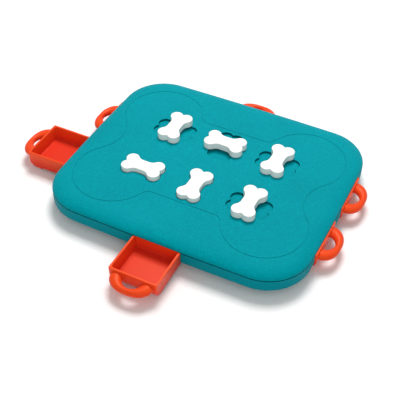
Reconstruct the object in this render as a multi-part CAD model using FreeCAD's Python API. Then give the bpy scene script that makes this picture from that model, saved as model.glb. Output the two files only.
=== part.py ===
import FreeCAD, Part
import math
import os
from collections import namedtuple

# Dog puzzle feeder board: a low two-part shell with six pull-out treat drawers and six turning bone knobs.
# Frame: origin on the floor under the middle of the board, X along the long side, Y across, Z up. Millimetres.

# Board outline
BOARD_LENGTH = 330.0
BOARD_WIDTH = 275.0
CORNER_RADIUS = 54.0
SIDE_BOW = 1.1

# Shell heights and walls
WALL = 2.4
FOOT_HEIGHT = 2.0
BELLY_DROP = 5.3
SIDE_HEIGHT = 18.5
DOME_HEIGHT = 8.2
EDGE_ROUND = 20.0
BELLY_INSET = 17.0
LEDGE_FILLET = 6.0
BELLY_FILLET = 3.0
SEAM_HEIGHT = 0.7
SEAM_DEPTH = 0.5

# Large bone figure drawn on the top as a thin groove
FIGURE_LOBE_X = 98.0
FIGURE_LOBE_Y = 63.0
FIGURE_LOBE_RADIUS = 50.0
FIGURE_SHANK_HALF = 73.0
FIGURE_SHANK_FILLET = 12.0
FIGURE_NOTCH_FILLET = 44.7
FIGURE_GROOVE_WIDTH = 0.7
FIGURE_GROOVE_DEPTH = 0.35

# Bone knobs and their stems
STEM_SETBACK = 96.3
KNOB_ROW_Y = 41.6
KNOB_LOBE_X = 17.5
KNOB_LOBE_Y = 6.65
KNOB_LOBE_RADIUS = 8.0
KNOB_SHANK_HALF = 8.6
KNOB_SHANK_FILLET = 10.0
KNOB_NOTCH_FILLET = 1.5
KNOB_THICKNESS = 8.5
KNOB_WALL = 2.2
KNOB_EDGE_FILLET = 0.8
KNOB_GAP = 0.15
RECESS_DEPTH = 2.8
RECESS_CLEARANCE = 0.9
STEM_RADIUS = 5.0
STEM_RUNNING_GAP = 0.08
STEM_BOSS_WALL = 3.4
STEM_BOSS_LENGTH = 6.0
STEM_TIP_RADIUS = 3.0
STEM_TIP_LENGTH = 9.0
STEM_TIP_GAP = 0.05
PAN_MARGIN = 2.2

# Lock cams under the stems
CAM_LENGTH = 12.0
CAM_WIDTH = 9.0
CAM_HEIGHT = 17.2
CAM_FLANGE_RADIUS = 7.5
CAM_FLANGE_HEIGHT = 1.6
CAM_END_PLAY = 0.3
CAM_GRIP_GAP = 0.05

# Drawers
DRAWER_WIDTH = 60.5
DRAWER_DEPTH = 60.0
DRAWER_DRAFT = 1.2
DRAWER_WALL = 2.6
DRAWER_FLOOR = 2.4
DRAWER_CORNER = 1.6
DRAWER_INNER_DRAFT = 2.0
DRAWER_INNER_CORNER = 3.0
DRAWER_PROUD = 1.5
DRAWER_ROW_Y = 41.6
RIM_GAP = 0.3
SIDE_GAP = 0.3
GLIDE_GAP = 0.4
RUNNER_HEIGHT = 1.3
FRONT_CURVE = 11.6
LIP_DROP = 1.6
EAR_REACH = 1.5
EAR_LENGTH = 2.5
EAR_HEIGHT = 9.5
STOP_GAP = 0.3
TAIL_WIDTH = 52.0
TAIL_THICKNESS = 2.4
TAIL_MARGIN = 3.0
SLOT_RIM_WALL = 2.0
SLOT_RIM_HEIGHT = 7.2
RIM_EDGE_FILLET = 0.5

# D-shaped drawer handles
HANDLE_REACH = 18.2
HANDLE_WIDTH = 53.4
HANDLE_LEG_HALF = 7.5
HANDLE_BOW_HALF = 3.8
HANDLE_LEG_RISE = 4.9
HANDLE_BOW_RISE = 4.3
HANDLE_LEG_BELOW_RIM = 7.5
HANDLE_DROOP = 1.5
HANDLE_ROOT_SINK = 1.5
HANDLE_SECTION_POINTS = 12

# Guide rails and hold-down ribs
RIB_THICKNESS = 2.0
RAIL_TOP_GAP = 1.2
HOLD_DOWN_LENGTH = 85.0
HOLD_DOWN_START = 12.0

# Fasteners and feet
SCREW_RADIUS = 1.5
SCREW_LENGTH = 20.0
SCREW_HEAD_RADIUS = 3.0
SCREW_HEAD_HEIGHT = 2.0
SCREW_FIT_GAP = 0.02
SCREW_CLEARANCE = 0.2
SCREW_RECESS = 2.4
SCREW_BOSS_RADIUS = 5.0
SCREW_JOINT_DROP = 0.4
SCREW_CORNER_X = 130.0
SCREW_CORNER_Y = 98.0
SCREW_MIDDLE_X = 52.0
SCREW_MIDDLE_Y = 108.0
SCREW_CENTRE_X = 46.0
DRIVE_SLOT_WIDTH = 0.9
DRIVE_SLOT_DEPTH = 1.1
FOOT_RADIUS = 7.0
FOOT_POCKET = 0.8
FOOT_EDGE = 0.6
FOOT_X = 112.0
FOOT_Y = 84.0

# Heights worked out from the sizes above
BELLY_Z = FOOT_HEIGHT
LEDGE_Z = BELLY_Z + BELLY_DROP
PARTING_Z = LEDGE_Z + SIDE_HEIGHT
TOP_Z = PARTING_Z + DOME_HEIGHT
FLOOR_Z = BELLY_Z + WALL
CEILING_Z = TOP_Z - WALL
RIM_Z = PARTING_Z - RIM_GAP
RUNNER_Z = FLOOR_Z + GLIDE_GAP
DRAWER_HEIGHT = RIM_Z - RUNNER_Z
RECESS_Z = TOP_Z - RECESS_DEPTH
BOSS_Z = RECESS_Z - STEM_BOSS_LENGTH
SCREW_JOINT_Z = PARTING_Z - SCREW_JOINT_DROP

# Places worked out from the sizes above
SIDE_FACE = BOARD_LENGTH / 2 + DRAWER_PROUD
END_FACE = BOARD_WIDTH / 2 + DRAWER_PROUD
KNOB_PITCH_X = SIDE_FACE - STEM_SETBACK
END_STEM = END_FACE - KNOB_ROW_Y
SLOT_WIDTH = CAM_LENGTH + 2 * CAM_GRIP_GAP
SLOT_START = min(STEM_SETBACK, END_STEM) - SLOT_WIDTH / 2 - STOP_GAP
TAIL_END = max(STEM_SETBACK, END_STEM) + SLOT_WIDTH / 2 + TAIL_MARGIN
BAY_HALF = DRAWER_WIDTH / 2 + EAR_REACH + SIDE_GAP
TRAVEL = DRAWER_DEPTH - EAR_LENGTH - DRAWER_PROUD - WALL - SIDE_BOW - STOP_GAP

# One station is a drawer with its knob: heading is the way the drawer opens, in degrees
Station = namedtuple("Station", "name heading stem_x stem_y face row_y is_open")


def vec(x, y, z=0.0):
    return FreeCAD.Vector(x, y, z)


def list_stations():
    """Six stations; the left front and the front drawer stand open with their knobs down and in line."""
    stations = []
    for side, side_name, heading in ((-1, "left", 180), (1, "right", 0)):
        for row, row_name in ((1, "rear"), (-1, "front")):
            is_open = side < 0 and row < 0
            name = side_name + "_" + row_name
            stations.append(Station(name, heading, side * KNOB_PITCH_X, row * KNOB_ROW_Y,
                                    SIDE_FACE, row * DRAWER_ROW_Y, is_open))
    for row, row_name, heading in ((1, "rear", 90), (-1, "front", 270)):
        stations.append(Station(row_name, heading, 0.0, row * KNOB_ROW_Y,
                                END_FACE, 0.0, row < 0))
    return stations


def turn_about_z(shape, degrees):
    """Copy of a shape turned about the Z axis of its own frame."""
    turned = shape.copy()
    turned.rotate(vec(0, 0), vec(0, 0, 1), degrees)
    return turned


def put_at_face(shape, station, travel=0.0):
    """Place a shape drawn with its front face at x = 0 at a station's drawer front."""
    placed = turn_about_z(shape, station.heading)
    angle = math.radians(station.heading)
    reach = station.face + travel
    placed.translate(vec(reach * math.cos(angle), reach * math.sin(angle) + station.row_y))
    return placed


def put_at_stem(shape, station, degrees, lift=0.0):
    """Place a shape drawn round the stem axis at a station's knob."""
    placed = turn_about_z(shape, degrees)
    placed.translate(vec(station.stem_x, station.stem_y, lift))
    return placed


def arc(start, middle, end):
    return Part.Arc(start, middle, end).toShape()


def box(x_low, x_high, y_low, y_high, z_low, z_high):
    return Part.makeBox(x_high - x_low, y_high - y_low, z_high - z_low, vec(x_low, y_low, z_low))


def rod(radius, z_low, z_high, x=0.0, y=0.0):
    return Part.makeCylinder(radius, z_high - z_low, vec(x, y, z_low))


def prism(wire, height):
    return Part.Face(wire).extrude(vec(0, 0, height))


def edges_at_height(shape, z):
    """Edges of a shape that lie flat at one height."""
    found = []
    for edge in shape.Edges:
        bounds = edge.BoundBox
        if abs(bounds.ZMin - z) < 1e-4 and abs(bounds.ZMax - z) < 1e-4:
            found.append(edge)
    return found


def bow_centre(corner_along, corner_across):
    """Distance of a side's bow centre beyond the middle, so that the bow meets the corner arcs smoothly."""
    return (corner_across ** 2 - 2 * corner_along * SIDE_BOW - SIDE_BOW ** 2) / (2 * SIDE_BOW)


def board_wire(inset, z):
    """Board outline at height z, drawn in by inset: four bowed sides and four corner arcs, all tangent."""
    corner_x = BOARD_LENGTH / 2 - CORNER_RADIUS - SIDE_BOW
    corner_y = BOARD_WIDTH / 2 - CORNER_RADIUS - SIDE_BOW
    radius = CORNER_RADIUS - inset
    side_angle = math.atan2(corner_y, corner_x + bow_centre(corner_x, corner_y))
    end_angle = math.pi / 2 - math.atan2(corner_x, corner_y + bow_centre(corner_y, corner_x))
    middle_angle = (side_angle + end_angle) / 2

    def on_corner(angle, sign_x):
        return vec(sign_x * (corner_x + radius * math.cos(angle)), corner_y + radius * math.sin(angle), z)

    low_right = on_corner(side_angle, 1)
    high_right = on_corner(end_angle, 1)
    high_left = on_corner(end_angle, -1)
    low_left = on_corner(side_angle, -1)
    half = [
        (vec(low_right.x, -low_right.y, z), vec(BOARD_LENGTH / 2 - inset, 0, z), low_right),
        (low_right, on_corner(middle_angle, 1), high_right),
        (high_right, vec(0, BOARD_WIDTH / 2 - inset, z), high_left),
        (high_left, on_corner(middle_angle, -1), low_left),
    ]
    edges = [arc(*points) for points in half]
    for points in half:
        edges.append(arc(*[vec(-point.x, -point.y, z) for point in points]))
    return Part.Wire(edges)


def board_prism(inset, z_low, z_high):
    return prism(board_wire(inset, z_low), z_high - z_low)


def board_dome(inset, z_low, rise):
    """Board outline closing over the top with a quarter ellipse all round its edge."""
    steps = 7
    wires = []
    for step in range(steps + 1):
        angle = math.pi / 2 * step / steps
        drawn_in = inset + EDGE_ROUND * (1 - math.cos(angle))
        wires.append(board_wire(drawn_in, z_low + rise * math.sin(angle)))
    return Part.makeLoft(wires, True, False)


def bone_wire(lobe_x, lobe_y, lobe_radius, shank_half, shank_fillet, notch_fillet, grow, z):
    """Bone outline: four lobes, a straight shank with tangent flares, and a rounded notch at each end."""
    radius = lobe_radius + grow
    flare = shank_fillet - grow
    notch = notch_fillet - grow
    side = shank_half + grow
    flare_x = lobe_x - math.sqrt((radius + flare) ** 2 - (side + flare - lobe_y) ** 2)
    flare_y = side + flare
    notch_x = lobe_x + math.sqrt((radius + notch) ** 2 - lobe_y ** 2)
    notch_angle = math.atan2(-lobe_y, notch_x - lobe_x)
    flare_angle = math.atan2(flare_y - lobe_y, flare_x - lobe_x)

    def on_lobe(angle, sign):
        return vec(sign * (lobe_x + radius * math.cos(angle)), lobe_y + radius * math.sin(angle), z)

    def on_flare(angle, sign):
        return vec(sign * (flare_x + flare * math.cos(angle)), flare_y + flare * math.sin(angle), z)

    lobe_middle = (notch_angle + flare_angle) / 2
    flare_end = -math.pi / 2
    flare_middle = (flare_angle - math.pi + flare_end) / 2
    edges = []
    for half in (1, -1):
        def point(position):
            return vec(half * position.x, half * position.y, z)

        edges.append(arc(point(on_lobe(notch_angle, 1)), point(on_lobe(lobe_middle, 1)),
                         point(on_lobe(flare_angle, 1))))
        edges.append(arc(point(on_lobe(flare_angle, 1)), point(on_flare(flare_middle, 1)),
                         point(on_flare(flare_end, 1))))
        edges.append(Part.LineSegment(point(on_flare(flare_end, 1)), point(on_flare(flare_end, -1))).toShape())
        edges.append(arc(point(on_flare(flare_end, -1)), point(on_flare(flare_middle, -1)),
                         point(on_lobe(flare_angle, -1))))
        edges.append(arc(point(on_lobe(flare_angle, -1)), point(on_lobe(lobe_middle, -1)),
                         point(on_lobe(notch_angle, -1))))
        notch_end = on_lobe(notch_angle, -1)
        edges.append(arc(point(notch_end), point(vec(notch - notch_x, 0, z)),
                         point(vec(notch_end.x, -notch_end.y, z))))
    return Part.Wire(edges)


def knob_wire(grow, z):
    return bone_wire(KNOB_LOBE_X, KNOB_LOBE_Y, KNOB_LOBE_RADIUS, KNOB_SHANK_HALF,
                     KNOB_SHANK_FILLET, KNOB_NOTCH_FILLET, grow, z)


def figure_wire(grow, z):
    return bone_wire(FIGURE_LOBE_X, FIGURE_LOBE_Y, FIGURE_LOBE_RADIUS, FIGURE_SHANK_HALF,
                     FIGURE_SHANK_FILLET, FIGURE_NOTCH_FILLET, grow, z)


def rounded_rectangle(x_low, x_high, half_width, radius, z):
    """Closed wire of a rectangle with rounded corners, symmetric about the X axis."""
    bend = radius * (1 - math.sqrt(0.5))
    corners = []
    for x, x_in in ((x_high, -1), (x_low, 1)):
        for y_in in ((1, -1) if x_in < 0 else (-1, 1)):
            y = -y_in * half_width
            along = vec(x, y + y_in * radius, z)
            across = vec(x + x_in * radius, y, z)
            middle = vec(x + x_in * bend, y + y_in * bend, z)
            corners.append((across, middle, along) if x_in * y_in < 0 else (along, middle, across))
    edges = []
    for index, corner in enumerate(corners):
        edges.append(arc(*corner))
        following = corners[(index + 1) % len(corners)]
        edges.append(Part.LineSegment(corner[2], following[0]).toShape())
    return Part.Wire(edges)


def list_screw_places():
    places = []
    for x in (-1, 1):
        for y in (-1, 1):
            places.append((x * SCREW_CORNER_X, y * SCREW_CORNER_Y))
            places.append((x * SCREW_MIDDLE_X, y * SCREW_MIDDLE_Y))
        places.append((x * SCREW_CENTRE_X, 0.0))
    return places


def list_foot_places():
    places = [(0.0, 0.0)]
    for x in (-1, 1):
        for y in (-1, 1):
            places.append((x * FOOT_X, y * FOOT_Y))
    return places


def make_seam_groove():
    """Ring that cuts the thin shadow groove where the two shells meet."""
    low = PARTING_Z - SEAM_HEIGHT / 2
    high = PARTING_Z + SEAM_HEIGHT / 2
    return board_prism(-1.0, low, high).cut(board_prism(SEAM_DEPTH, low, high))


def make_bay_cut():
    """Space that a drawer passes through in the outer wall, the ledge and the belly wall."""
    half = DRAWER_WIDTH / 2 + SIDE_GAP
    depth = DRAWER_PROUD + BELLY_INSET + 2 * WALL
    return box(-depth, DRAWER_PROUD, -half, half, FLOOR_Z, PARTING_Z + 1.0)


def make_base_inside():
    """Space inside the lower shell: over the belly tray's floor, over the ledge and between the outer walls."""
    ledge_top = LEDGE_Z + WALL
    rim_inner = board_prism(WALL, ledge_top, PARTING_Z)
    rim_inner = rim_inner.makeFillet(LEDGE_FILLET - WALL, edges_at_height(rim_inner, ledge_top))
    return rim_inner.fuse(board_prism(BELLY_INSET + WALL, FLOOR_Z, ledge_top + WALL))


def make_base_shell():
    """Lower shell: outer wall with a rounded ledge, a deeper belly tray, drawer bays and screw bosses."""
    rim_outer = board_prism(0.0, LEDGE_Z, PARTING_Z)
    rim_outer = rim_outer.makeFillet(LEDGE_FILLET, edges_at_height(rim_outer, LEDGE_Z))
    belly_outer = board_prism(BELLY_INSET, BELLY_Z, LEDGE_Z + WALL)
    belly_outer = belly_outer.makeFillet(BELLY_FILLET, edges_at_height(belly_outer, BELLY_Z))
    shell = rim_outer.fuse(belly_outer).cut(make_base_inside())
    for station in list_stations():
        shell = shell.cut(put_at_face(make_bay_cut(), station))
    bosses = []
    for x, y in list_screw_places():
        bosses.append(rod(SCREW_BOSS_RADIUS, FLOOR_Z - WALL / 2, SCREW_JOINT_Z, x, y))
    shell = shell.fuse(bosses)
    head_seat = FLOOR_Z + SCREW_RECESS
    for x, y in list_screw_places():
        shell = shell.cut(rod(SCREW_HEAD_RADIUS + 2 * SCREW_CLEARANCE, BELLY_Z - 1.0, head_seat, x, y))
        shell = shell.cut(rod(SCREW_RADIUS + SCREW_CLEARANCE, BELLY_Z, PARTING_Z, x, y))
    for x, y in list_foot_places():
        shell = shell.cut(rod(FOOT_RADIUS, BELLY_Z - 1.0, BELLY_Z + FOOT_POCKET, x, y))
    return shell.cut(make_seam_groove()).removeSplitter()


def make_guide_rails():
    """Pair of rails beside every drawer, standing on the base's floor and ending at its ledge and outer wall."""
    inside = make_base_inside()
    rails = []
    for station in list_stations():
        for side in (-1, 1):
            faces = sorted((side * BAY_HALF, side * (BAY_HALF + RIB_THICKNESS)))
            rail = box(-TAIL_END, 0.0, faces[0], faces[1], FLOOR_Z, PARTING_Z - RAIL_TOP_GAP)
            rails.append(put_at_face(rail, station).common(inside))
    return Part.makeCompound(rails)


def make_knob_pan():
    """Thickened pan that carries a knob's recess, drawn with the recess along X."""
    margin = RECESS_CLEARANCE + PAN_MARGIN
    half_length = KNOB_LOBE_X + KNOB_LOBE_RADIUS + margin
    half_width = KNOB_LOBE_Y + KNOB_LOBE_RADIUS + margin
    wire = rounded_rectangle(-half_length, half_length, half_width, KNOB_LOBE_RADIUS, RECESS_Z - WALL)
    return prism(wire, CEILING_Z + WALL / 2 - RECESS_Z + WALL)


def make_hold_down_ribs():
    """Two ribs that hang over a drawer's side walls and keep it from tipping."""
    ribs = []
    for side in (-1, 1):
        centre = side * (DRAWER_WIDTH - DRAWER_WALL) / 2
        ribs.append(box(-HOLD_DOWN_START - HOLD_DOWN_LENGTH, -HOLD_DOWN_START, centre - RIB_THICKNESS / 2,
                        centre + RIB_THICKNESS / 2, PARTING_Z, CEILING_Z + WALL / 2))
    return ribs


def make_top_shell():
    """Upper shell: domed edge, six bone recesses with stem bosses, and the large bone groove."""
    outer = board_dome(0.0, PARTING_Z, DOME_HEIGHT)
    shell = outer.cut(board_dome(WALL, PARTING_Z, DOME_HEIGHT - WALL))
    added = []
    for station in list_stations():
        added.append(put_at_stem(make_knob_pan(), station, station.heading))
        boss = rod(STEM_RADIUS + STEM_BOSS_WALL, BOSS_Z, RECESS_Z - WALL / 2)
        added.append(put_at_stem(boss, station, 0.0))
        for rib in make_hold_down_ribs():
            added.append(put_at_face(rib, station).common(outer))
    for x, y in list_screw_places():
        added.append(rod(SCREW_BOSS_RADIUS, SCREW_JOINT_Z, CEILING_Z + WALL / 2, x, y))
    shell = shell.fuse(added)
    recess = prism(knob_wire(RECESS_CLEARANCE, RECESS_Z), RECESS_DEPTH + 1.0)
    bore = rod(STEM_RADIUS + STEM_RUNNING_GAP, BOSS_Z - 1.0, TOP_Z)
    for station in list_stations():
        shell = shell.cut(put_at_stem(recess, station, station.heading))
        shell = shell.cut(put_at_stem(bore, station, 0.0))
    hole_end = FLOOR_Z + SCREW_RECESS + SCREW_LENGTH + SCREW_CLEARANCE
    for x, y in list_screw_places():
        shell = shell.cut(rod(SCREW_RADIUS + SCREW_FIT_GAP, SCREW_JOINT_Z - 1.0, hole_end, x, y))
    half_groove = FIGURE_GROOVE_WIDTH / 2
    groove_z = TOP_Z - FIGURE_GROOVE_DEPTH
    groove = prism(figure_wire(half_groove, groove_z), 1.0).cut(prism(figure_wire(-half_groove, groove_z), 1.0))
    return shell.cut(groove).cut(make_seam_groove()).removeSplitter()


def make_handle():
    """D-shaped handle: oval sections along a half ellipse, thick at its legs and slimmer at the bow."""
    steps = 12
    reach = HANDLE_REACH - HANDLE_BOW_HALF
    spread = HANDLE_WIDTH / 2 - HANDLE_LEG_HALF
    wires = []
    for step in range(-1, steps + 2):
        angle = math.pi * min(max(step, 0), steps) / steps
        out = reach * math.sin(angle)
        if step < 0 or step > steps:
            out = -HANDLE_ROOT_SINK
        fullness = abs(math.cos(angle)) ** 1.5
        half_in_plane = HANDLE_BOW_HALF + (HANDLE_LEG_HALF - HANDLE_BOW_HALF) * fullness
        half_rise = HANDLE_BOW_RISE + (HANDLE_LEG_RISE - HANDLE_BOW_RISE) * fullness
        height = RIM_Z - HANDLE_LEG_BELOW_RIM - HANDLE_DROOP * math.sin(angle)
        # The section stands square to the path, so its wide axis runs across the path's heading
        heading = math.atan2(spread * math.sin(angle), reach * math.cos(angle))
        if step < 0 or step > steps:
            heading = angle
        points = []
        for turn in range(HANDLE_SECTION_POINTS):
            around = 2 * math.pi * turn / HANDLE_SECTION_POINTS
            across = half_in_plane * math.cos(around)
            points.append(vec(out + across * math.sin(heading),
                              -spread * math.cos(angle) - across * math.cos(heading),
                              height + half_rise * math.sin(around)))
        oval = Part.BSplineCurve()
        oval.interpolate(Points=points, PeriodicFlag=True)
        wires.append(Part.Wire([oval.toShape()]))
    return Part.makeLoft(wires, True, False)


def make_drawer_body():
    """Outer block of a drawer: drafted sides, a curved lower front edge and a deeper lip under the front."""
    lip_z = RUNNER_Z - LIP_DROP
    lip_length = DRAWER_PROUD + BELLY_INSET - STOP_GAP
    half = DRAWER_WIDTH / 2
    draft = DRAWER_DRAFT * (RIM_Z - lip_z) / DRAWER_HEIGHT
    low = rounded_rectangle(-DRAWER_DEPTH, 0.0, half - draft, DRAWER_CORNER, lip_z)
    high = rounded_rectangle(-DRAWER_DEPTH, 0.0, half, DRAWER_CORNER, RIM_Z)
    block = Part.makeLoft([low, high], True, True)
    curve_z = lip_z + FRONT_CURVE
    bend = FRONT_CURVE * math.sqrt(0.5)
    start = vec(0, -half, curve_z)
    end = vec(-FRONT_CURVE, -half, lip_z)
    middle = vec(bend - FRONT_CURVE, -half, curve_z - bend)
    corners = [end, vec(-lip_length, -half, lip_z), vec(-lip_length, -half, RUNNER_Z),
               vec(-DRAWER_DEPTH, -half, RUNNER_Z), vec(-DRAWER_DEPTH, -half, RIM_Z),
               vec(0, -half, RIM_Z), start]
    edges = [Part.LineSegment(corners[i], corners[i + 1]).toShape() for i in range(len(corners) - 1)]
    edges.append(arc(start, middle, end))
    profile = Part.Face(Part.Wire(edges)).extrude(vec(0, DRAWER_WIDTH, 0))
    return block.common(profile)


def make_drawer_hollow():
    """Inside of a drawer: drafted walls and a floor with rounded edges."""
    floor_z = RUNNER_Z + RUNNER_HEIGHT + DRAWER_FLOOR
    half = DRAWER_WIDTH / 2 - DRAWER_WALL
    draft = DRAWER_INNER_DRAFT
    low = rounded_rectangle(draft - DRAWER_DEPTH + DRAWER_WALL, -DRAWER_WALL - draft, half - draft,
                            DRAWER_INNER_CORNER, floor_z)
    high = rounded_rectangle(-DRAWER_DEPTH + DRAWER_WALL, -DRAWER_WALL, half, DRAWER_INNER_CORNER, RIM_Z)
    hollow = Part.makeLoft([low, high], True, True)
    return hollow.makeFillet(DRAWER_INNER_CORNER / 2, edges_at_height(hollow, floor_z))


def make_drawer_tail():
    """Plate behind the drawer that stays in the board, with a rimmed slot for the lock cam."""
    half = TAIL_WIDTH / 2
    plate = box(-TAIL_END, -DRAWER_DEPTH + DRAWER_WALL / 2, -half, half, RUNNER_Z, RUNNER_Z + TAIL_THICKNESS)
    rim_half = SLOT_WIDTH / 2 + SLOT_RIM_WALL
    rim = box(-TAIL_END, -SLOT_START + SLOT_RIM_WALL, -rim_half, rim_half, RUNNER_Z, RUNNER_Z + SLOT_RIM_HEIGHT)
    slot = box(-TAIL_END - 1.0, -SLOT_START, -SLOT_WIDTH / 2, SLOT_WIDTH / 2, RUNNER_Z - 1.0, RIM_Z)
    return plate.fuse(rim).cut(slot)


def make_drawer():
    """One treat drawer with its front face at x = 0, opening along +X."""
    body = make_drawer_body().cut(make_drawer_hollow())
    rim_edges = edges_at_height(body, RIM_Z)
    body = body.makeFillet(RIM_EDGE_FILLET, rim_edges)
    runner_half = DRAWER_WIDTH / 2 - DRAWER_DRAFT - DRAWER_WALL
    lip_length = DRAWER_PROUD + BELLY_INSET - STOP_GAP
    underside = box(-DRAWER_DEPTH + DRAWER_WALL, -lip_length - DRAWER_WALL, -runner_half, runner_half,
                    RUNNER_Z - 1.0, RUNNER_Z + RUNNER_HEIGHT)
    body = body.cut(underside)
    ear_half = DRAWER_WIDTH / 2 + EAR_REACH
    ear_low = LEDGE_Z + LEDGE_FILLET + STOP_GAP
    ears = []
    for side in (-1, 1):
        inner = side * (DRAWER_WIDTH / 2 - DRAWER_WALL)
        outer = side * ear_half
        ears.append(box(-DRAWER_DEPTH, -DRAWER_DEPTH + EAR_LENGTH, min(inner, outer), max(inner, outer),
                        ear_low, ear_low + EAR_HEIGHT))
    solid = body.fuse([make_drawer_tail()] + ears)
    grip = make_handle().cut(make_drawer_hollow())
    return solid.fuse(grip).removeSplitter()


def make_bone_knob():
    """Bone-shaped knob, hollow beneath, on its round stem; drawn along X in the raised position."""
    knob_z = TOP_Z + KNOB_GAP
    body = prism(knob_wire(0.0, knob_z), KNOB_THICKNESS)
    top_edges = edges_at_height(body, knob_z + KNOB_THICKNESS)
    body = body.makeFillet(KNOB_EDGE_FILLET, top_edges)
    body = body.cut(prism(knob_wire(-KNOB_WALL, knob_z - 1.0), KNOB_THICKNESS - KNOB_WALL + 1.0))
    shoulder_z = BOSS_Z - CAM_END_PLAY
    stem = rod(STEM_RADIUS, shoulder_z, knob_z + KNOB_THICKNESS - KNOB_WALL / 2)
    tip = rod(STEM_TIP_RADIUS, shoulder_z - STEM_TIP_LENGTH, shoulder_z + 1.0)
    return body.fuse([stem, tip]).removeSplitter()


def make_lock_cam():
    """Cam with a round flange that sits on the stem's tip and turns in the drawer's slot."""
    top_z = BOSS_Z - CAM_END_PLAY
    wire = rounded_rectangle(-CAM_LENGTH / 2, CAM_LENGTH / 2, CAM_WIDTH / 2, CAM_WIDTH / 2 - 0.01,
                             top_z - CAM_HEIGHT)
    body = prism(wire, CAM_HEIGHT)
    flange = rod(CAM_FLANGE_RADIUS, top_z - CAM_FLANGE_HEIGHT, top_z)
    socket = rod(STEM_TIP_RADIUS + STEM_TIP_GAP, top_z - STEM_TIP_LENGTH - STEM_TIP_GAP, top_z + 1.0)
    return body.fuse(flange).cut(socket).removeSplitter()


def make_screws():
    """Self-tapping pan-head screws driven from beneath, heads down."""
    seat = FLOOR_Z + SCREW_RECESS
    screw = rod(SCREW_HEAD_RADIUS, seat - SCREW_HEAD_HEIGHT, seat)
    screw = screw.fuse(rod(SCREW_RADIUS, seat - SCREW_HEAD_HEIGHT / 2, seat + SCREW_LENGTH))
    reach = SCREW_HEAD_RADIUS * 0.7
    half = DRIVE_SLOT_WIDTH / 2
    slot_top = seat - SCREW_HEAD_HEIGHT + DRIVE_SLOT_DEPTH
    cross = box(-reach, reach, -half, half, seat - SCREW_HEAD_HEIGHT - 1.0, slot_top)
    cross = cross.fuse(box(-half, half, -reach, reach, seat - SCREW_HEAD_HEIGHT - 1.0, slot_top))
    screw = screw.cut(cross)
    copies = []
    for x, y in list_screw_places():
        copy = screw.copy()
        copy.translate(vec(x, y))
        copies.append(copy)
    return Part.makeCompound(copies)


def make_feet():
    """Rubber discs seated in shallow pockets under the belly."""
    feet = []
    for x, y in list_foot_places():
        foot = rod(FOOT_RADIUS, 0.0, FOOT_HEIGHT + FOOT_POCKET, x, y)
        feet.append(foot.makeFillet(FOOT_EDGE, edges_at_height(foot, 0.0)))
    return Part.makeCompound(feet)


def save(name, shape):
    shape.exportStep("parts/" + name + ".step")
    print(name, "solids", len(shape.Solids), "valid", shape.isValid(), "volume", round(shape.Volume))


def main():
    os.makedirs("parts", exist_ok=True)
    save("base_shell", make_base_shell())
    save("guide_rails", make_guide_rails())
    save("top_shell", make_top_shell())
    save("shell_screws", make_screws())
    save("rubber_feet", make_feet())
    drawer = make_drawer()
    knob = make_bone_knob()
    cam = make_lock_cam()
    for station in list_stations():
        travel = TRAVEL if station.is_open else 0.0
        lift = -RECESS_DEPTH if station.is_open else 0.0
        turn = station.heading if station.is_open else station.heading + 90
        save("drawer_" + station.name, put_at_face(drawer, station, travel))
        save("bone_knob_" + station.name, put_at_stem(knob, station, turn, lift))
        save("lock_cam_" + station.name, put_at_stem(cam, station, turn, lift))
    print("drawer travel", round(TRAVEL, 3), "knob lift", RECESS_DEPTH)


main()
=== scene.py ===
"""Finish, floor, light and camera of a dog puzzle feeder board with pull-out drawers and bone knobs."""

import logging
import math
from dataclasses import dataclass
from enum import Enum

import bpy
from mathutils import Matrix, Vector


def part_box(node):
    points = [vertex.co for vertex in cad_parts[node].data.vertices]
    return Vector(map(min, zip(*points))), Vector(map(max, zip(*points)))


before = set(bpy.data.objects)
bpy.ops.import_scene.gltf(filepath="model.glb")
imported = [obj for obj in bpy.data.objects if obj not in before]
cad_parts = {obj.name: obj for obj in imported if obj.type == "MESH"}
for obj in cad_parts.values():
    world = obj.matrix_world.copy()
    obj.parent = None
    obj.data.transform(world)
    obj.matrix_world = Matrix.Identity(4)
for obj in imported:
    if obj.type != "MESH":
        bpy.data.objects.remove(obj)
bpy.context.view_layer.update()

log = logging.getLogger("feeder")

Colour = tuple[float, float, float]
Place = tuple[float, float, float]

MILLIMETRES = 1000.0

# Sizes of the shells in millimetres, and the heights above the floor that the painted shade on their seam and
# recess walls follows
DOME_HEIGHT = 8.2
RECESS_DEPTH = 2.8
SEAM_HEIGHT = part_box("base_shell")[1].z * MILLIMETRES
RECESS_HEIGHT = SEAM_HEIGHT + DOME_HEIGHT - RECESS_DEPTH


class Station(Enum):
    """Where a drawer and its knob sit on the board."""

    LEFT_REAR = "left_rear"
    LEFT_FRONT = "left_front"
    RIGHT_REAR = "right_rear"
    RIGHT_FRONT = "right_front"
    REAR = "rear"
    FRONT = "front"


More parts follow.
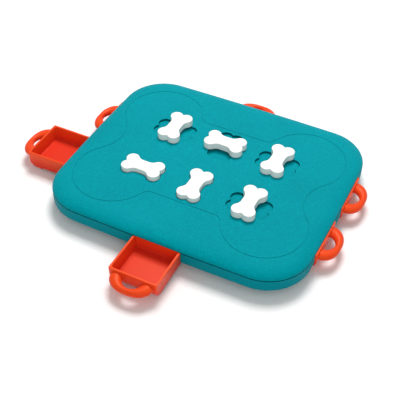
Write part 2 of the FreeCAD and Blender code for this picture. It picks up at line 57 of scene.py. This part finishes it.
class Value:
    """A shader value: arithmetic on it adds Math nodes to its tree."""

    def __init__(self, tree: "ShaderTree", socket: bpy.types.NodeSocket) -> None:
        """Wraps one output socket.

        Args:
            tree: The shader tree that the socket belongs to.
            socket: The output socket to wrap.
        """
        self.tree = tree
        self.socket = socket

    def _join(self, operation: str, first: object, second: object) -> "Value":
        """Adds one Math node.

        Args:
            operation: Blender's name of the Math operation.
            first: First operand, a number or a Value.
            second: Second operand, a number or a Value.

        Returns:
            The node's result.
        """
        return self.tree.node("ShaderNodeMath", {"operation": operation}, {0: first, 1: second})

    def __add__(self, other: object) -> "Value":
        """Sum of two values."""
        return self._join("ADD", self, other)

    def __radd__(self, other: object) -> "Value":
        """Sum with a number on the left."""
        return self._join("ADD", other, self)

    def __sub__(self, other: object) -> "Value":
        """Difference of two values."""
        return self._join("SUBTRACT", self, other)

    def __rsub__(self, other: object) -> "Value":
        """Difference with a number on the left."""
        return self._join("SUBTRACT", other, self)

    def __mul__(self, other: object) -> "Value":
        """Product of two values."""
        return self._join("MULTIPLY", self, other)

    def __rmul__(self, other: object) -> "Value":
        """Product with a number on the left."""
        return self._join("MULTIPLY", other, self)

    def clamped(self) -> "Value":
        """The value held between 0 and 1."""
        return self._join("MAXIMUM", self._join("MINIMUM", self, 1.0), 0.0)

    def above(self, edge: float, width: float) -> "Value":
        """A soft step.

        Args:
            edge: Where the step starts.
            width: How far it takes to reach 1.

        Returns:
            0 below the edge, rising to 1 over the width.
        """
        return ((self - edge) * (1.0 / width)).clamped()

    def about(self, middle: float, spread: float) -> "Value":
        """Lets a number vary with this value, which is noise.

        Args:
            middle: The result where the noise is 0.5.
            spread: How far the result ranges as the noise goes from 0 to 1.

        Returns:
            The varying number.
        """
        return (middle - spread / 2) + spread * self


class ShaderTree:
    """The node tree of one material, with its Principled shader."""

    def __init__(self, name: str) -> None:
        """Makes an empty material.

        Args:
            name: The material's name.
        """
        self.material = bpy.data.materials.new(name)
        self.material.use_nodes = True
        self.nodes = self.material.node_tree.nodes
        self.links = self.material.node_tree.links
        self.shader = self.nodes["Principled BSDF"]

    def node(self, kind: str, settings: dict[str, object], inputs: dict[object, object],
             output: object = 0) -> Value:
        """Adds any node.

        Args:
            kind: Blender's type name of the node.
            settings: Node properties, set first.
            inputs: Input sockets by name or number, with a number, a colour or a Value each.
            output: Name or number of the output to return.

        Returns:
            The chosen output.
        """
        made = self.nodes.new(kind)
        for name, setting in settings.items():
            setattr(made, name, setting)
        for key, value in inputs.items():
            self._feed(self._find(made.inputs, key), value)
        return Value(self, self._find(made.outputs, output))

    @staticmethod
    def _find(sockets: bpy.types.bpy_prop_collection, key: object) -> bpy.types.NodeSocket:
        """Finds a socket by number, identifier or name.

        Args:
            sockets: A node's inputs or outputs.
            key: The number, identifier or name.

        Returns:
            The socket.
        """
        if isinstance(key, int):
            return sockets[key]
        for socket in sockets:
            if socket.identifier == key:
                return socket
        return sockets[key]

    def _feed(self, socket: bpy.types.NodeSocket, value: object) -> None:
        """Sets or links one input socket.

        Args:
            socket: The input socket.
            value: A Value to link, or a number or colour to set.
        """
        if isinstance(value, Value):
            self.links.new(value.socket, socket)
        elif isinstance(value, tuple) and socket.type == "RGBA":
            socket.default_value = (*value, 1.0)
        else:
            socket.default_value = value

    def place(self) -> Value:
        """Position on the object.

        Returns:
            The position as a vector in millimetres.
        """
        point = self.node("ShaderNodeTexCoord", {}, {}, "Object")
        scale = (MILLIMETRES, MILLIMETRES, MILLIMETRES)
        return self.node("ShaderNodeVectorMath", {"operation": "MULTIPLY"}, {0: point, 1: scale})

    def height(self) -> Value:
        """Height above the floor, in millimetres."""
        return self.node("ShaderNodeSeparateXYZ", {}, {0: self.place()}, "Z")

    def upward(self) -> Value:
        """How far the surface faces up: 1 on a level top, 0 on a wall."""
        normal = self.node("ShaderNodeNewGeometry", {}, {}, "True Normal")
        return self.node("ShaderNodeSeparateXYZ", {}, {0: normal}, "Z")

    def noise(self, grain_mm: float, detail: float = 2.0, roughness: float = 0.5) -> Value:
        """Even noise of a given grain.

        Args:
            grain_mm: Size of one grain in millimetres.
            detail: Octaves of finer noise.
            roughness: How strong the finer octaves are.

        Returns:
            Noise about 0.5.
        """
        return self.node("ShaderNodeTexNoise", {"noise_dimensions": "3D"},
                         {"Vector": self.place(), "Scale": 1.0 / grain_mm, "Detail": detail,
                          "Roughness": roughness}, "Fac")

    def cells(self, size_mm: float) -> Value:
        """Distance to the nearest of many scattered points.

        Args:
            size_mm: Mean distance between points in millimetres.

        Returns:
            0 at a point, rising away from it.
        """
        return self.node("ShaderNodeTexVoronoi", {"feature": "F1"},
                         {"Vector": self.place(), "Scale": 1.0 / size_mm}, "Distance")

    def mix(self, factor: Value, first: object, second: object) -> Value:
        """Blends two colours.

        Args:
            factor: 0 gives the first colour, 1 the second.
            first: A colour or a Value.
            second: A colour or a Value.

        Returns:
            The blended colour.
        """
        return self.node("ShaderNodeMix", {"data_type": "RGBA"},
                         {"Factor_Float": factor, "A_Color": first, "B_Color": second}, "Result_Color")

    def bump(self, height: Value, depth_mm: float, strength: float) -> Value:
        """Surface relief.

        Args:
            height: Relief between 0 and 1.
            depth_mm: Depth of the relief in millimetres.
            strength: How strongly it bends the surface.

        Returns:
            The bent normal.
        """
        relief = {"Strength": strength, "Distance": depth_mm / MILLIMETRES, "Height": height}
        return self.node("ShaderNodeBump", {}, relief, "Normal")

    def set(self, **inputs: object) -> None:
        """Sets or links the Principled shader's inputs; an underscore in a name stands for a space."""
        for name, value in inputs.items():
            self._feed(self.shader.inputs[name.replace("_", " ")], value)


@dataclass(frozen=True)
class TexturedPlastic:
    """Matte moulded plastic with a fine stippled skin, as on the board's two shells."""

    name: str
    colour: Colour
    deep: Colour
    pale: Colour
    roughness: float
    shine: float
    stipple_mm: float
    stipple_depth_mm: float
    speckle: float
    glint: Colour = (0.0, 0.8, 0.9)
    # Near-black teal painted as shade into the seam groove and onto the steep recess walls
    painted_shade: Colour = (0.0, 0.012, 0.014)
    gloss_spread: float = 0.12
    drift_mm: float = 60.0
    drift_start: float = 0.35
    drift_share: float = 0.8
    speck_stipples: float = 2.2
    speck_start: float = 0.56
    speck_fade: float = 0.14
    relief: float = 0.55
    seam_half_mm: float = 0.6
    seam_fade_mm: float = 0.1
    seam_shade: float = 0.9
    wall_fade_mm: float = 0.2
    recess_wall_shade: float = 0.6
    slope_start: float = 0.3
    slope_fade: float = 0.3

    def make(self) -> bpy.types.Material:
        """Builds the material: tone drift, specks, a stippled bump, and painted shade in the seam and on
        recess walls.

        Returns:
            The finished material.
        """
        tree = ShaderTree(self.name)
        drift = tree.noise(self.drift_mm, detail=3.0)
        stipple = tree.noise(self.stipple_mm, detail=3.0, roughness=0.65)
        ground = tree.mix((drift - self.drift_start) * self.drift_share, self.colour, self.deep)
        clean = self._speckled(tree, ground)
        height = tree.height()
        # Painted shade: the steep recess walls above the recess floors are darkened towards near-black teal
        wall_shaded = tree.mix(self._recess_wall(tree, height) * self.recess_wall_shade, clean, self.painted_shade)
        # Painted shade: the seam groove between the shells is darkened towards near-black teal
        seam_shaded = tree.mix(self._seam(height) * self.seam_shade, wall_shaded, self.painted_shade)
        tree.set(Base_Color=seam_shaded, Roughness=stipple.about(self.roughness, self.gloss_spread),
                 Specular_IOR_Level=self.shine, Specular_Tint=self.glint,
                 Normal=tree.bump(stipple, self.stipple_depth_mm, self.relief))
        return tree.material

    def _speckled(self, tree: ShaderTree, ground: Value) -> Value:
        """Scatters pale and deep specks over a colour.

        Args:
            tree: The material's tree.
            ground: The colour under the specks.

        Returns:
            The speckled colour.
        """
        specks = tree.noise(self.stipple_mm * self.speck_stipples, detail=2.0, roughness=0.7)
        pale_specks = specks.above(self.speck_start, self.speck_fade)
        worn = tree.mix(pale_specks * self.speckle, ground, self.pale)
        deep_specks = (1.0 - specks).above(self.speck_start, self.speck_fade)
        return tree.mix(deep_specks * self.speckle, worn, self.deep)

    def _seam(self, height: Value) -> Value:
        """Where the groove between the two shells runs, which gets painted shade.

        Args:
            height: Height above the floor in millimetres.

        Returns:
            1 in the groove, 0 elsewhere.
        """
        over_low_edge = height.above(SEAM_HEIGHT - self.seam_half_mm, self.seam_fade_mm)
        return over_low_edge - height.above(SEAM_HEIGHT + self.seam_half_mm, self.seam_fade_mm)

    def _recess_wall(self, tree: ShaderTree, height: Value) -> Value:
        """Where the steep walls of the bone recesses are, which get painted shade.

        Args:
            tree: The material's tree.
            height: Height above the floor in millimetres.

        Returns:
            1 on a steep wall above the recess floors, 0 elsewhere.
        """
        over_floor = height.above(RECESS_HEIGHT, self.wall_fade_mm)
        facing_up = tree.upward().above(self.slope_start, self.slope_fade)
        return over_floor * (1.0 - facing_up)


@dataclass(frozen=True)
class BrightPlastic:
    """Smooth bright moulded plastic, as on the drawers."""

    name: str
    colour: Colour
    shade: Colour
    pale: Colour
    # Darker red painted as shade on the low parts of the drawers, inside and out
    low_shade: Colour
    roughness: float
    shine: float
    glint: Colour
    gloss_spread: float = 0.1
    flow_mm: float = 18.0
    flow_start: float = 0.4
    flow_share: float = 0.9
    low_shade_height_mm: float = 7.0
    low_shade_fade_mm: float = 14.0
    scuff_mm: float = 0.45
    scuff_start: float = 0.6
    scuff_fade: float = 0.15
    scuff_share: float = 0.12
    peel_mm: float = 1.1
    peel_depth_mm: float = 0.05
    relief: float = 0.35

    def make(self) -> bpy.types.Material:
        """Builds the material: flow marks, painted shade that deepens the red low down, and a faint
        orange-peel skin.

        Returns:
            The finished material.
        """
        tree = ShaderTree(self.name)
        flow = tree.noise(self.flow_mm, detail=4.0, roughness=0.6)
        peel = tree.noise(self.peel_mm)
        scuffs = tree.noise(self.scuff_mm, roughness=0.6).above(self.scuff_start, self.scuff_fade)
        body = tree.mix((flow - self.flow_start).clamped() * self.flow_share, self.colour, self.shade)
        # Painted shade: below about 21 mm above the floor the colour fades into the darker red
        low_shaded = tree.mix(tree.height().above(self.low_shade_height_mm, self.low_shade_fade_mm), self.low_shade, body)
        scuffed = tree.mix(scuffs * self.scuff_share, low_shaded, self.pale)
        tree.set(Base_Color=scuffed, Roughness=peel.about(self.roughness, self.gloss_spread),
                 Specular_IOR_Level=self.shine, Specular_Tint=self.glint,
                 Normal=tree.bump(peel, self.peel_depth_mm, self.relief))
        return tree.material


@dataclass(frozen=True)
class SmoothPlastic:
    """Plain satin plastic, as on the bone knobs and the lock cams."""

    name: str
    colour: Colour
    shade: Colour
    roughness: float
    shine: float = 0.45
    gloss_spread: float = 0.1
    drift_mm: float = 9.0
    drift_start: float = 0.45
    drift_share: float = 0.6
    mark_mm: float = 4.0
    mark_start: float = 0.62
    mark_fade: float = 0.2
    mark_share: float = 0.15
    mark_dulling: float = 0.06
    skin_mm: float = 0.35
    skin_depth_mm: float = 0.03
    relief: float = 0.3

    def make(self) -> bpy.types.Material:
        """Builds the material: faint tone drift, a fine satin skin and light handling marks.

        Returns:
            The finished material.
        """
        tree = ShaderTree(self.name)
        drift = tree.noise(self.drift_mm, detail=3.0)
        skin = tree.noise(self.skin_mm, roughness=0.6)
        marks = tree.noise(self.mark_mm, detail=5.0, roughness=0.75).above(self.mark_start, self.mark_fade)
        toned = tree.mix((drift - self.drift_start).clamped() * self.drift_share, self.colour, self.shade)
        marked = tree.mix(marks * self.mark_share, toned, self.shade)
        satin = skin.about(self.roughness, self.gloss_spread) + self.mark_dulling * marks
        tree.set(Base_Color=marked, Roughness=satin, Specular_IOR_Level=self.shine,
                 Normal=tree.bump(skin, self.skin_depth_mm, self.relief))
        return tree.material


@dataclass(frozen=True)
class PlatedSteel:
    """Zinc-plated steel of the screws."""

    name: str
    colour: Colour
    dull: Colour
    roughness: float = 0.39
    gloss_spread: float = 0.22
    cloud_mm: float = 1.6
    turning_mm: float = 0.18
    turning_depth_mm: float = 0.02
    relief: float = 0.3

    def make(self) -> bpy.types.Material:
        """Builds the material: cloudy plating with fine turning marks.

        Returns:
            The finished material.
        """
        tree = ShaderTree(self.name)
        cloud = tree.noise(self.cloud_mm, detail=3.0)
        turning = tree.noise(self.turning_mm, detail=1.0)
        tree.set(Base_Color=tree.mix(cloud, self.colour, self.dull), Metallic=1.0,
                 Roughness=cloud.about(self.roughness, self.gloss_spread),
                 Normal=tree.bump(turning, self.turning_depth_mm, self.relief))
        return tree.material


@dataclass(frozen=True)
class SoftRubber:
    """Matte rubber of the feet."""

    name: str
    colour: Colour
    dusty: Colour
    roughness: float = 0.875
    gloss_spread: float = 0.15
    shine: float = 0.3
    bloom_mm: float = 3.5
    bloom_start: float = 0.4
    pit_mm: float = 0.5
    pit_depth_mm: float = 0.05
    relief: float = 0.4

    def make(self) -> bpy.types.Material:
        """Builds the material: a dusty bloom over a fine pitted skin.

        Returns:
            The finished material.
        """
        tree = ShaderTree(self.name)
        pits = tree.cells(self.pit_mm)
        bloom = tree.noise(self.bloom_mm, detail=4.0, roughness=0.7)
        tree.set(Base_Color=tree.mix((bloom - self.bloom_start).clamped(), self.colour, self.dusty),
                 Roughness=bloom.about(self.roughness, self.gloss_spread), Specular_IOR_Level=self.shine,
                 Normal=tree.bump(pits, self.pit_depth_mm, self.relief))
        return tree.material


@dataclass(frozen=True)
class PaperFloor:
    """Seamless pale paper under the board."""

    name: str
    colour: Colour
    shade: Colour
    roughness: float = 0.9
    shine: float = 0.1
    drift_mm: float = 220.0
    drift_share: float = 0.3

    def make(self) -> bpy.types.Material:
        """Builds the material: almost even pale paper.

        Returns:
            The finished material.
        """
        tree = ShaderTree(self.name)
        drift = tree.noise(self.drift_mm)
        tree.set(Base_Color=tree.mix(drift * self.drift_share, self.colour, self.shade),
                 Roughness=self.roughness, Specular_IOR_Level=self.shine)
        return tree.material


TOP_TEAL = TexturedPlastic("teal_top_skin", colour=(0.0, 0.285, 0.34), deep=(0.0, 0.205, 0.25),
                           pale=(0.0, 0.4, 0.465), roughness=0.62, shine=0.14, stipple_mm=0.8,
                           stipple_depth_mm=0.16, speckle=0.65)
BASE_TEAL = TexturedPlastic("teal_base_skin", colour=(0.0, 0.23, 0.28), deep=(0.0, 0.195, 0.24),
                            pale=(0.0, 0.27, 0.325), roughness=0.5, shine=0.06, stipple_mm=0.6,
                            stipple_depth_mm=0.06, speckle=0.25)
DRAWER_ORANGE = BrightPlastic("orange_moulding", colour=(0.84, 0.066, 0.012), shade=(0.74, 0.046, 0.01),
                              pale=(0.95, 0.14, 0.035), low_shade=(0.72, 0.03, 0.014), roughness=0.36,
                              shine=0.3, glint=(1.0, 0.45, 0.25))
KNOB_WHITE = SmoothPlastic("white_knob_plastic", colour=(0.93, 0.93, 0.9), shade=(0.88, 0.89, 0.85),
                           roughness=0.42)
CAM_NATURAL = SmoothPlastic("natural_cam_plastic", colour=(0.72, 0.71, 0.66), shade=(0.66, 0.65, 0.6),
                            roughness=0.38)
SCREW_ZINC = PlatedSteel("zinc_plating", colour=(0.62, 0.64, 0.66), dull=(0.46, 0.48, 0.5))
FOOT_BLACK = SoftRubber("black_rubber", colour=(0.025, 0.025, 0.027), dusty=(0.06, 0.06, 0.062))
FLOOR_PAPER = PaperFloor("pale_paper", colour=(0.97, 0.97, 0.97), shade=(0.95, 0.95, 0.95))


def dress(node: str, material: bpy.types.Material) -> None:
    """Gives one CAD node its finish.

    Args:
        node: The node's name.
        material: Its material.
    """
    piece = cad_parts[node]
    if not piece.material_slots:
        piece.data.materials.append(material)
    for slot in piece.material_slots:
        slot.material = material
    log.info("%s dressed in %s", node, material.name)


@dataclass
class Shell:
    """The two halves of the board with the rails, screws and feet."""

    top_finish: TexturedPlastic = TOP_TEAL
    base_finish: TexturedPlastic = BASE_TEAL
    screw_finish: PlatedSteel = SCREW_ZINC
    foot_finish: SoftRubber = FOOT_BLACK

    def build(self) -> None:
        """Dresses the shells, the rails, the screws and the feet."""
        dress("top_shell", self.top_finish.make())
        base = self.base_finish.make()
        dress("base_shell", base)
        dress("guide_rails", base)
        dress("shell_screws", self.screw_finish.make())
        dress("rubber_feet", self.foot_finish.make())


@dataclass
class Drawers:
    """The six treat drawers."""

    finish: BrightPlastic = DRAWER_ORANGE

    def build(self) -> None:
        """Dresses every drawer in one shared plastic."""
        orange = self.finish.make()
        for station in Station:
            dress("drawer_" + station.value, orange)


@dataclass
class Knobs:
    """The six bone knobs with the lock cams under them."""

    knob_finish: SmoothPlastic = KNOB_WHITE
    cam_finish: SmoothPlastic = CAM_NATURAL

    def build(self) -> None:
        """Dresses every knob and cam."""
        white = self.knob_finish.make()
        natural = self.cam_finish.make()
        for station in Station:
            dress("bone_knob_" + station.value, white)
            dress("lock_cam_" + station.value, natural)


@dataclass(frozen=True)
class Softbox:
    """One square area light, with sizes in metres and power in watts."""

    name: str
    place: Place
    size: float
    power: float
    aim: Place = (0.0, 0.0, 0.02)

    def build(self) -> None:
        """Hangs the light and points it at its aim."""
        light = bpy.data.lights.new(self.name, "AREA")
        light.shape = "SQUARE"
        light.size = self.size
        light.energy = self.power
        lamp = bpy.data.objects.new(self.name, light)
        bpy.context.scene.collection.objects.link(lamp)
        lamp.location = self.place
        lamp.rotation_euler = (Vector(self.aim) - Vector(self.place)).to_track_quat("-Z", "Y").to_euler()
        log.info("light %s", self.name)


@dataclass
class Camera:
    """The photograph's camera, as fitted to the board's outline, in degrees, metres and pixels."""

    azimuth: float = 26.117
    elevation: float = 43.769
    roll: float = 0.747
    distance: float = 1.036894
    focal_px: float = 840.159
    image_px: float = 400.0
    sensor_mm: float = 36.0
    near_clip: float = 0.01
    target_px: tuple[float, float] = (210.142, 181.192)
    target: Place = (0.0, 0.0, 0.009)

    def build(self) -> None:
        """Places the camera so that the target falls on its pixel."""
        azimuth, elevation, roll = (math.radians(a) for a in (self.azimuth, self.elevation, self.roll))
        back = Vector((math.sin(azimuth) * math.cos(elevation), -math.cos(azimuth) * math.cos(elevation),
                       math.sin(elevation)))
        level = Vector((math.cos(azimuth), math.sin(azimuth), 0.0))
        rise = back.cross(level)
        right = math.cos(roll) * level + math.sin(roll) * rise
        up = math.cos(roll) * rise - math.sin(roll) * level
        shift_x = (self.target_px[0] - self.image_px / 2) / self.focal_px
        shift_y = (self.image_px / 2 - self.target_px[1]) / self.focal_px
        place = Vector(self.target) + self.distance * (back - shift_x * right - shift_y * up)
        data = bpy.data.cameras.new("camera")
        data.sensor_width = self.sensor_mm
        data.lens = self.focal_px / self.image_px * self.sensor_mm
        data.clip_start = self.near_clip
        camera = bpy.data.objects.new("camera", data)
        bpy.context.scene.collection.objects.link(camera)
        turned = Matrix((right, up, back)).transposed().to_4x4()
        camera.matrix_world = Matrix.Translation(place) @ turned
        bpy.context.scene.camera = camera
        log.info("camera placed")


@dataclass
class Studio:
    """Pale floor, soft light and the sky light around the board."""

    floor_half: float = 4.0
    floor_finish: PaperFloor = FLOOR_PAPER
    sky: Colour = (1.0, 0.985, 0.955)
    sky_strength: float = 0.42
    lights: tuple[Softbox, ...] = (
        Softbox("key_light", place=(-0.22, 0.74, 1.6), size=0.7, power=25.5),
        Softbox("front_fill", place=(0.6, -1.6, 0.9), size=1.3, power=7.5),
        Softbox("right_fill", place=(1.6, 0.3, 0.8), size=1.0, power=0.6),
    )

    def build(self) -> None:
        """Lays the floor, hangs the lights, sets the sky and keeps the colours plain."""
        self._lay_floor()
        for light in self.lights:
            light.build()
        self._set_sky()
        bpy.context.scene.view_settings.view_transform = "Standard"

    def _lay_floor(self) -> None:
        """Lays a square of paper under the board."""
        half = self.floor_half
        corners = [(-half, -half, 0.0), (half, -half, 0.0), (half, half, 0.0), (-half, half, 0.0)]
        mesh = bpy.data.meshes.new("floor")
        mesh.from_pydata(corners, [], [(0, 1, 2, 3)])
        floor = bpy.data.objects.new("floor", mesh)
        bpy.context.scene.collection.objects.link(floor)
        mesh.materials.append(self.floor_finish.make())
        log.info("floor laid")

    def _set_sky(self) -> None:
        """Fills the surroundings with even warm-white light."""
        world = bpy.data.worlds.new("sky")
        world.use_nodes = True
        background = world.node_tree.nodes["Background"]
        background.inputs["Color"].default_value = (*self.sky, 1.0)
        background.inputs["Strength"].default_value = self.sky_strength
        bpy.context.scene.world = world
        log.info("sky set")


def main() -> None:
    """Builds the camera, the pieces and the studio in order."""
    logging.basicConfig(level=logging.INFO, format="%(name)s: %(message)s")
    Camera().build()
    Shell().build()
    Drawers().build()
    Knobs().build()
    Studio().build()


if __name__ == "__main__":
    main()
